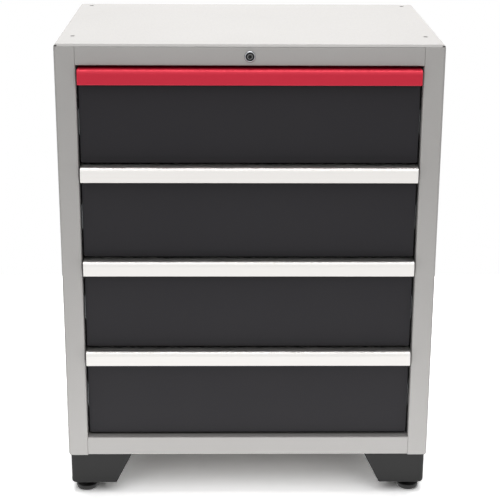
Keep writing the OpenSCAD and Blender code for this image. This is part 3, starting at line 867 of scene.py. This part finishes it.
@dataclass
class FrontRail:
    """Channel between the posts, with a hole for the lock where it has one."""

    node: str
    name: str
    lock_hole: float = 0.0
    hole_sides: int = 48
    sheet: float = 1.0 * MM
    fold_radius: float = 2.0 * MM

    def build(self) -> None:
        """Models the channel, drills it and dresses it."""
        low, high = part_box(self.node)
        rail = folded_sheet(self.name, [
            (high.y, high.z), (low.y, high.z), (low.y, low.z), (high.y, low.z)],
            (low.x, high.x), Run.ACROSS, [self.fold_radius, self.fold_radius], self.sheet)
        if self.lock_hole:
            cut(rail, drill(self.lock_hole, (0, low.y, middle("lock_plug", Axis.Z)), Facing.FRONT,
                            self.hole_sides))
        dress(rail, SILVER_PAINT, "cabinet", [self.node])


@dataclass
class Legs:
    """Four folded corner legs with slanting inner edges, one modelled and three mirrored."""

    sheet: float = 2.0 * MM
    corner_radius: float = 10 * MM
    toe_radius: float = 4 * MM
    taper: float = 30 * MM
    flange: float = 30 * MM
    plate_lift: float = 0.2 * MM
    stud_hole: float = 10.3 * MM
    foot_inset: float = 26.4 * MM

    def build(self) -> None:
        """Models the front left leg, mirrors it and dresses all four."""
        left = self.front_left()
        right = mirrored(left, "front_right_corner_leg", Axis.X)
        plane = (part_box("front_left_leg")[0].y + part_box("rear_left_leg")[1].y) / 2
        legs = {"front_left_leg": left, "front_right_leg": right,
                "rear_left_leg": mirrored(left, "rear_left_corner_leg", Axis.Y, plane),
                "rear_right_leg": mirrored(right, "rear_right_corner_leg", Axis.Y, plane)}
        for node, leg in legs.items():
            dress(leg, BLACK_PAINT, "cabinet", [node])

    def front_left(self) -> Piece:
        """Models the front left leg.

        Returns:
            The leg.
        """
        low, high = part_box("front_left_leg")
        leg = folded_sheet("front_left_corner_leg", [
            (low.x, high.y), (low.x, low.y), (high.x, low.y)],
            (low.z, high.z), Run.UPRIGHT, [self.corner_radius])
        with editing(leg):
            pick(leg, Pick.VERTICES, at(x=high.x, z=low.z))
            bpy.ops.transform.translate(value=(-self.taper, 0, 0))
            pick(leg, Pick.VERTICES, at(y=high.y, z=low.z))
            bpy.ops.transform.translate(value=(0, -self.taper, 0))
        thicken(leg, self.sheet)
        for plate in self.plates(low, high):
            cut(leg, plate, Cut.ADD)
        outline = block("outline", low, high)
        with editing(outline):
            round_off(outline, at(x=low.x, y=low.y), self.corner_radius)
            round_off(outline, lambda p: at(z=low.z)(p)
                      and not (at(x=high.x)(p) or at(y=high.y)(p)), self.toe_radius)
        cut(leg, outline, Cut.KEEP_SHARED)
        cut(leg, drill(self.stud_hole, (low.x + self.foot_inset, low.y + self.foot_inset, low.z)))
        return leg

    def plates(self, low: Vector, high: Vector) -> list[Piece]:
        """Makes the flanges under the cabinet and the plate that takes the foot.

        Args:
            low: The leg's lowest corner.
            high: Its highest corner.

        Returns:
            The flanges and the plate.
        """
        t, reach, side = self.sheet, high.x - low.x - 2 * self.sheet, self.flange
        toe = reach - self.taper
        sizes = ((reach, side, high.z - t), (side, reach, high.z - t),
                 (toe, toe, low.z + self.plate_lift))
        plates = [block("plate", (low.x + t / 2, low.y + t / 2, z),
                        (low.x + across, low.y + deep, z + t)) for across, deep, z in sizes]
        with editing(plates[-1]):
            round_off(plates[-1], at(x=low.x + toe, y=low.y + toe), toe - side, steps=1)
        return plates


@dataclass
class Feet:
    """Four levelling feet: round pad, hexagon and threaded stud, one modelled and three copied."""

    pad_height: float = 10 * MM
    pad_lower_radius: float = 5 * MM
    pad_upper_radius: float = 1.5 * MM
    pad_rim: float = 3 * MM
    pad_dish: float = 0.5 * MM
    sole_inset: float = 1.2 * MM
    sole_hollow: float = 0.5 * MM
    sides: int = 64
    hex_sides: int = 6
    hex_height: float = 5 * MM
    hex_corners: float = 19.6 * MM
    hex_chamfer: Point = (1.2 * MM, 0.7 * MM)
    hex_sunk: Point = (1 * MM, 0.4 * MM)
    stud: float = 10 * MM
    stud_sunk: float = 1 * MM
    stud_taper: Point = (1 * MM, 2 * MM)
    pitch: float = 1.5 * MM
    thread: float = 0.8 * MM
    thread_form: Place = (0.35, 0.6, 0.95)
    thread_steps: int = 20
    spare_turns: int = 2

    def build(self) -> None:
        """Models the front left foot, copies it and dresses all four."""
        first = "front_left_foot"
        feet = {first: self.foot(first)}
        for node in ("front_right_foot", "rear_left_foot", "rear_right_foot"):
            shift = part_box(node)[0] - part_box(first)[0]
            feet[node] = copied(feet[first], node.replace("foot", "levelling_foot"), shift)
        for node, foot in feet.items():
            dress(foot, NYLON, node, [node], edge=0.0)

    def foot(self, node: str) -> Piece:
        """Models a foot from its pad upwards.

        Args:
            node: The CAD node that it stands for.

        Returns:
            The foot.
        """
        low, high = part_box(node)
        r, h = (high.x - low.x) / 2, self.pad_height
        b, t = self.pad_lower_radius, self.pad_upper_radius
        quarter = [math.pi / 2 * k / FOLD_STEPS for k in range(FOLD_STEPS + 1)]
        below = [(r - b + b * math.cos(a), b - b * math.sin(a)) for a in reversed(quarter)]
        above = [(r - t + t * math.cos(a), h - t + t * math.sin(a)) for a in quarter]
        rim, dish = r - t - self.pad_rim, self.pad_dish
        pad = turned(node.replace("foot", "levelling_foot"), [
            (r - b - self.sole_inset, self.sole_hollow), *below, *above, (rim, h),
            (rim - dish, h - dish)], self.sides)
        corner, top = self.hex_corners / 2, h + self.hex_height
        inset, drop = self.hex_chamfer
        nut = turned("hexagon", [
            (corner - inset, h - self.hex_sunk[0]), (corner, h - self.hex_sunk[1]),
            (corner, top - drop), (corner - inset, top)], self.hex_sides)
        cut(pad, nut, Cut.ADD)
        cut(pad, self.threaded_stud(top - self.stud_sunk, high.z), Cut.ADD)
        return place(pad, (middle(node, Axis.X), middle(node, Axis.Y), 0))

    def threaded_stud(self, low: float, high: float) -> Piece:
        """Models the stud by winding a thread's profile upwards and trimming its ends.

        Args:
            low: Height at which the stud starts.
            high: Height of its upper end.

        Returns:
            The stud, upright at the origin.
        """
        crest = self.stud / 2
        root, outside = crest - self.thread, crest + self.stud_taper[0]
        rise, fall, end = (share * self.pitch for share in self.thread_form)
        profile = [(root, 0.0), (crest, rise), (crest, fall), (root, end), (root, self.pitch)]
        stud = start("stud", bpy.ops.mesh.primitive_plane_add, size=UNIT)
        with editing(stud):
            pick(stud, Pick.VERTICES, lambda p: p[0].x > 0 or p[0].y > 0)
            bpy.ops.mesh.delete(type="VERT")
            bpy.ops.mesh.select_all(action="SELECT")
            bpy.ops.transform.translate(
                value=(UNIT / 2 + root, UNIT / 2, low - self.spare_turns * self.pitch))
            for (r, z), (next_r, next_z) in zip(profile, profile[1:]):
                draw_out((next_r - r, 0, next_z - z))
        turns = int((high - low) / self.pitch) + 2 * self.spare_turns
        modify(stud, "SCREW", screw_offset=self.pitch, iterations=turns, steps=self.thread_steps,
               render_steps=self.thread_steps)
        with editing(stud):
            seal(fill=True)
        ends = turned("ends", [(outside, low), (outside, high - self.stud_taper[1]), (root, high)],
                      DRILL_SIDES)
        cut(stud, ends, Cut.KEEP_SHARED)
        return stud


@dataclass
class Lock:
    """Key lock in the top rail: bezel with its barrel, and the plug with its keyway.

    A profile's steps are given as the distances inwards and downwards from its upper edge.
    """

    bezel: float = 19.4 * MM
    bezel_height: float = 2.5 * MM
    bezel_steps: tuple[Point, ...] = (
        (0.0, 1.9 * MM), (0.25 * MM, 1.2 * MM), (0.75 * MM, 0.5 * MM), (1.4 * MM, 0.1 * MM),
        (1.8 * MM, 0.0))
    recess: float = 14.8 * MM
    recess_depth: float = 6 * MM
    recess_bevel: float = 0.25 * MM
    barrel: float = 16 * MM
    plug: float = 9.2 * MM
    plug_play: float = 0.05 * MM
    plug_steps: tuple[Point, ...] = ((0.0, 0.3 * MM), (0.1 * MM, 0.1 * MM), (0.3 * MM, 0.0))
    dish: float = 7.2 * MM
    dish_depth: float = 1.0 * MM
    dish_bevel: float = 0.2 * MM
    dish_slope: float = 0.3 * MM
    keyway: Point = (2.0 * MM, 5.6 * MM)
    sides: int = 72

    def build(self) -> None:
        """Models the fixed cylinder and the plug, dresses them and paints the recess black as
        painted shade.
        """
        low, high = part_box("lock_cylinder")
        face, axis = low.y + self.bezel_height, middle("lock_cylinder", Axis.Z)
        spot, depth = (0, face, axis), high.y - face
        cylinder, plug = self.cylinder(spot, depth), self.key_plug(spot, depth)
        dress(cylinder, CHROME, "cabinet", ["lock_cylinder"], edge=0.0)
        dress(plug, BLACK_STEEL, "lock_plug", ["lock_plug"], edge=0.0)
        # Painted shade: the recess's faces get black nylon to stand for the shade in the deep gap
        # around the plug
        wall = self.recess / 2 + NEAR
        paint_faces(cylinder, NYLON,
                    lambda points: all(math.hypot(p.x, p.z - axis) < wall for p in points))

    def cylinder(self, spot: Place, depth: float) -> Piece:
        """Models the bezel and the barrel as one tube.

        Args:
            spot: Where the lock's axis meets the rail's face.
            depth: Length of the barrel behind that face.

        Returns:
            The cylinder.
        """
        rim, inner, barrel = self.bezel / 2, self.recess / 2, self.barrel / 2
        bore, bevel = self.plug / 2 + self.plug_play, self.recess_bevel
        top, floor = self.bezel_height, self.bezel_height - self.recess_depth
        made = turned("lock_bezel", [
            (barrel, -depth), (barrel, 0), (rim, 0),
            *((rim - inset, top - drop) for inset, drop in self.bezel_steps),
            (inner + bevel, top), (inner, top - bevel), (inner, floor), (bore, floor),
            (bore, -depth), (barrel, -depth)], self.sides, tube=True)
        return place(made, spot, Facing.FRONT)

    def key_plug(self, spot: Place, depth: float) -> Piece:
        """Models the plug with a dished face and cuts its keyway.

        Args:
            spot: Where the lock's axis meets the rail's face.
            depth: Length of the barrel behind that face.

        Returns:
            The plug.
        """
        _, face, axis = spot
        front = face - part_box("lock_plug")[0].y
        r, dish, bevel = self.plug / 2, self.dish / 2, self.dish_bevel
        plug = turned("lock_key_plug", [
            (r, -depth), *((r - inset, front - drop) for inset, drop in self.plug_steps),
            (dish + bevel, front), (dish, front - bevel),
            (dish - self.dish_slope, front - self.dish_depth)], self.sides)
        place(plug, spot, Facing.FRONT)
        wide, tall = self.keyway
        cut(plug, block("keyway", (-wide / 2, face - 2 * REACH, axis - tall / 2),
                        (wide / 2, face + depth / 2, axis + tall / 2)))
        return plug


@dataclass
class BackScrews:
    """Pan-head screws with cross recesses along the back panel's edges.

    The head's steps are given as the distances inwards from its rim and upwards from the panel.
    """

    inset: float = 12 * MM
    rows: int = 5
    sides: int = 40
    shank: float = 4.8 * MM
    head: float = 7.6 * MM
    head_height: float = 1.6 * MM
    head_steps: tuple[Point, ...] = (
        (0.0, 0.0), (0.0, 0.45 * MM), (0.35 * MM, 1.0 * MM), (1.2 * MM, 1.4 * MM))
    head_flat: float = 2.4 * MM
    cross: Point = (1.0 * MM, 4.4 * MM)
    cross_floor: float = 0.5 * MM

    def build(self) -> None:
        """Models one screw, copies it to its places and dresses them all as one piece."""
        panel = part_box("back_panel")[1].y
        low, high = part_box("left_side_panel")
        r, h, shank = self.head / 2, self.head_height, self.shank / 2
        screw = turned("back_panel_screws", [
            (shank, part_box("back_screws")[0].y - panel), (shank, 0),
            *((r - inset, rise) for inset, rise in self.head_steps), (r - self.head_flat, h)],
            self.sides)
        wide, long = self.cross
        for x, y in ((wide / 2, long / 2), (long / 2, wide / 2)):
            cut(screw, block("driver", (-x, -y, self.cross_floor), (x, y, 2 * h)))
        pitch = (high.z - low.z) / self.rows
        spots = [(x, panel, low.z + (k + 0.5) * pitch)
                 for x in (low.x + self.inset, -low.x - self.inset) for k in range(self.rows)]
        screws = [place(copied(screw, f"screw_{k}"), spot, Facing.BACK)
                  for k, spot in enumerate(spots[1:])]
        join(place(screw, spots[0], Facing.BACK), *screws)
        dress(screw, ZINC, "cabinet", ["back_screws"], edge=0.0)


@dataclass
class Drawers:
    """Four drawers, each a tray with its lock hook, a folded front and a full-width pull."""

    count: int = 4
    edge: float = 0.2 * MM
    sheet: float = 0.9 * MM
    depth: float = 405 * MM
    fold_radius: float = 2.0 * MM
    fold_steps: int = 3
    rim: float = 4.0 * MM
    hook_sheet: float = 1.5 * MM
    hook_bend: float = 1.7 * MM
    hook_width: float = 16 * MM
    hook_below: float = 20 * MM
    hook_drop: float = 14 * MM
    front_corner: float = 4.0 * MM
    front_fold: float = 1.3 * MM
    front_steps: int = 4
    front_flange: float = 15 * MM
    pull_sheet: float = 2.0 * MM
    pull_radius: float = 9 * MM
    pull_hem: float = 4.0 * MM
    pull_hem_radius: float = 2.5 * MM

    def build(self) -> None:
        """Models the top drawer, copies it downwards and dresses all four."""
        first = {"box": self.tray(), "front": self.front(), "pull": self.pull()}
        made = {f"drawer_1_{part}": piece for part, piece in first.items()}
        for number in range(2, self.count + 1):
            for part, piece in first.items():
                node = f"drawer_{number}_{part}"
                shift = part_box(node)[0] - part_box(f"drawer_1_{part}")[0]
                made[node] = copied(piece, piece.name.replace("_1_", f"_{number}_"), shift)
        for node, piece in made.items():
            body, part = node.rsplit("_", 1)
            pull = RED_ALUMINIUM if body == "drawer_1" else CLEAR_ALUMINIUM
            dress(piece, pull if part == "pull" else CHARCOAL_PAINT, body, [node], edge=self.edge)

    def tray(self) -> Piece:
        """Models the box: rounded folds, rolled rim and the hook behind.

        Returns:
            The tray.
        """
        low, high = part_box("drawer_1_box")
        rear = low.y + self.depth
        tray = block("drawer_1_tray", low, (high.x, rear, high.z))
        centre = ((low.x + high.x) / 2, (low.y + rear) / 2, high.z)
        with editing(tray):
            pick(tray, Pick.FACES, at(z=high.z))
            bpy.ops.mesh.delete(type="ONLY_FACE")
            round_off(tray, lambda p: at(z=low.z)(p) or abs(p[0].z - p[1].z) > self.rim,
                      self.fold_radius, self.fold_steps)
            pick(tray, Pick.EDGES, at(z=high.z))
            bpy.ops.mesh.extrude_region_move()
            share = (1 - 2 * self.rim / (high.x - low.x), 1 - 2 * self.rim / self.depth, 1)
            bpy.ops.transform.resize(value=share, center_override=centre)
            draw_out((0, 0, -self.rim))
        thicken(tray, self.sheet)
        top = high.z - self.hook_below + self.hook_sheet
        bar, half = middle("lock_bar", Axis.X), self.hook_width / 2
        hook = folded_sheet("hook", [
            (high.y, top - self.hook_drop - self.hook_sheet), (high.y, top),
            (rear - self.sheet / 2, top)], (bar - half, bar + half), Run.ACROSS,
            [self.hook_bend], self.hook_sheet)
        join(tray, hook)
        return tray

    def front(self) -> Piece:
        """Models the folded pan: rounded corners, folded edges and flanges turned in behind.

        Returns:
            The drawer front.
        """
        low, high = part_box("drawer_1_front")
        pan = block("drawer_1_face", low, high)
        size, turned_in = high - low, 2 * self.front_flange
        with editing(pan):
            round_off(pan, lambda p: abs(p[0].y - p[1].y) > self.front_corner, self.front_corner)
            round_off(pan, at(y=low.y), self.front_fold, self.front_steps)
            pick(pan, Pick.FACES, at(y=high.y))
            bpy.ops.mesh.delete(type="ONLY_FACE")
            pick(pan, Pick.EDGES, at(y=high.y))
            bpy.ops.mesh.extrude_region_move()
            bpy.ops.transform.resize(value=(1 - turned_in / size.x, 1, 1 - turned_in / size.z),
                                     center_override=(low + high) / 2)
        thicken(pan, self.sheet)
        return pan

    def pull(self) -> Piece:
        """Models the pull: seat, rolled upper edge, lip and turned-in hem."""
        low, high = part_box("drawer_1_pull")
        return folded_sheet("drawer_1_edge_pull", [
            (high.y, high.z), (low.y, high.z), (low.y, low.z), (low.y + self.pull_hem, low.z)],
            (low.x, high.x), Run.ACROSS, [self.pull_radius, self.pull_hem_radius], self.pull_sheet)


def paint_nodes() -> None:
    """Gives each CAD node that still shows the finish of its own record slot."""
    finishes = {finish.slot: finish for finish in FINISHES}
    slots = {part["node"]: part["material_slot"] for part in frame["record"]["subparts"]}
    for name, node in frame["nodes"].items():
        if node.hide_render:
            continue
        material = finishes[slots[name]].material()
        for slot in node.material_slots:
            slot.material = material
        if not node.material_slots:
            node.data.materials.append(material)
        log.info("%s: %s", name, material.name)


# Studio


@dataclass(frozen=True)
class Softbox:
    """Soft lamp that the camera doesn't see, with its power in watts."""

    name: str
    spot: Place
    target: Place
    size: Point
    power: float
    mirrored: bool = False

    def hang(self) -> None:
        """Hangs the lamp at its spot, turned to its target."""
        data = bpy.data.lights.new(self.name, "AREA")
        data.shape = "RECTANGLE"
        data.size, data.size_y = self.size
        data.energy = self.power
        lamp = bpy.data.objects.new(self.name, data)
        bpy.context.scene.collection.objects.link(lamp)
        lamp.location = self.spot
        aim = Vector(self.target) - Vector(self.spot)
        lamp.rotation_euler = aim.to_track_quat("-Z", "Y").to_euler()
        lamp.visible_camera = False
        lamp.visible_glossy = self.mirrored


@dataclass
class Studio:
    """White floor, soft light and the photograph's camera."""

    focal_px: float = 1392.67
    pitch: float = 0.31999
    yaw: float = -0.01607
    roll: float = 0.0054
    eye: Place = (-0.0358, -2.55813, 1.25234)
    sensor: float = 36.0
    floor_low: Point = (-4.0, -7.0)
    floor_high: Point = (4.0, 1.0)
    floor_colour: float = 0.72
    floor_seen: float = 1.75
    floor_mirrored: float = 0.3
    floor_glow: float = 0.88
    fade: Point = (1.1, 2.0)
    ambient: float = 0.02
    lamps: tuple[Softbox, ...] = (
        Softbox("overhead_softbox", spot=(0.0, 0.3, 2.4), target=(0.0, 0.3, 0.0),
                size=(2.0, 1.6), power=60, mirrored=True),
        Softbox("front_softbox", spot=(0.0, -1.3, 1.65), target=(0.0, 0.17, 0.29),
                size=(2.4, 1.77), power=21.7),
        Softbox("floor_bounce", spot=(0.0, -0.6, 0.01), target=(0.0, -0.6, 1.0),
                size=(1.8, 0.7), power=8.2),
        Softbox("rear_left_softbox", spot=(-1.6, 1.6, 1.25), target=(-0.1, 0.1, 0.5),
                size=(1.2, 0.7), power=15),
        Softbox("rear_right_softbox", spot=(1.6, 1.6, 1.25), target=(0.1, 0.1, 0.5),
                size=(1.2, 0.7), power=15))

    def build(self) -> None:
        """Makes the camera, floor, sky and lamps."""
        self.camera()
        self.floor()
        self.sky()
        for lamp in self.lamps:
            lamp.hang()

    def camera(self) -> None:
        """Sets the camera where the photograph was taken."""
        lens = bpy.data.cameras.new("photo_camera")
        lens.sensor_fit = "HORIZONTAL"
        lens.sensor_width = self.sensor
        lens.lens = self.sensor * self.focal_px / IMAGE_PX
        camera = bpy.data.objects.new("photo_camera", lens)
        bpy.context.scene.collection.objects.link(camera)
        level = Matrix(((1, 0, 0), (0, 0, -1), (0, 1, 0)))
        seen = (Matrix.Rotation(self.roll, 3, "Z") @ Matrix.Rotation(self.pitch, 3, "X") @ level
                @ Matrix.Rotation(-self.yaw, 3, "Z"))
        turn = seen.transposed() @ Matrix.Diagonal((1, -1, -1))
        camera.matrix_world = Matrix.Translation(self.eye) @ turn.to_4x4()
        bpy.context.scene.camera = camera

    def floor(self) -> None:
        """Lays a pale floor that shows white, with the cabinet's shadow on it."""
        low, high = Vector(self.floor_low), Vector(self.floor_high)
        floor = start("studio_floor", bpy.ops.mesh.primitive_plane_add, size=UNIT)
        floor.location, floor.scale = ((low + high) / 2).to_3d(), (*(high - low), 1)
        settle(floor)
        paint = bpy.data.materials.new("white studio paper")
        tree = empty_tree(paint)
        rays = add_node(tree, "LightPath").outputs
        plain, mirror, near = (
            add_node(tree, "BsdfDiffuse", {"Color": (level,) * 3 + (1,)}).outputs[0]
            for level in (self.floor_colour, self.floor_mirrored, self.floor_seen))
        glow, far = (add_node(tree, "Emission", {"Strength": strength}).outputs[0]
                     for strength in (self.floor_glow, 1.0))
        where = add_node(tree, "TexCoord").outputs["Object"]
        away = add_node(tree, "VectorMath", {0: where}, operation="LENGTH").outputs["Value"]
        faded = add_node(tree, "MapRange", {0: away, 1: self.fade[0], 2: self.fade[1]},
                         interpolation_type="SMOOTHSTEP").outputs[0]
        glowing = add_node(tree, "AddShader", {0: mirror, 1: glow}).outputs[0]
        reflected = combine(tree, "MAXIMUM", rays["Is Glossy Ray"], rays["Is Transmission Ray"])
        white = add_node(tree, "MixShader", {0: faded, 1: near, 2: far}).outputs[0]
        unseen = add_node(tree, "MixShader", {0: reflected, 1: plain, 2: glowing}).outputs[0]
        paper = add_node(tree, "MixShader", {0: rays["Is Camera Ray"], 1: unseen, 2: white})
        add_node(tree, "OutputMaterial", {"Surface": paper.outputs[0]})
        floor.data.materials.append(paint)

    def sky(self) -> None:
        """Makes a sky that is white where it is seen and a soft light otherwise."""
        world = bpy.data.worlds.new("studio")
        bpy.context.scene.world = world
        tree = empty_tree(world)
        rays = add_node(tree, "LightPath").outputs
        seen = combine(tree, "MAXIMUM", rays["Is Camera Ray"], rays["Is Glossy Ray"])
        seen = combine(tree, "MAXIMUM", seen, rays["Is Transmission Ray"])
        level = add_node(tree, "MapRange", {0: seen, 3: self.ambient, 4: 1.0}).outputs[0]
        light = add_node(tree, "Background", {"Color": (1, 1, 1, 1), "Strength": level})
        add_node(tree, "OutputWorld", {"Surface": light.outputs[0]})


def main() -> None:
    """Sets up the studio, builds and dresses the cabinet, and paints the nodes that still show."""
    logging.basicConfig(level=logging.INFO, format="%(message)s")
    bpy.context.scene.view_settings.view_transform = "Standard"
    for assembly in (Studio(), TopPanel(), SidePanels(),
                     FrontRail("top_rail", "top_front_rail", lock_hole=LOCK_HOLE),
                     FrontRail("bottom_rail", "bottom_front_rail"),
                     Legs(), Feet(), Lock(), BackScrews(), Drawers()):
        assembly.build()
    paint_nodes()


if __name__ == "__main__":
    main()
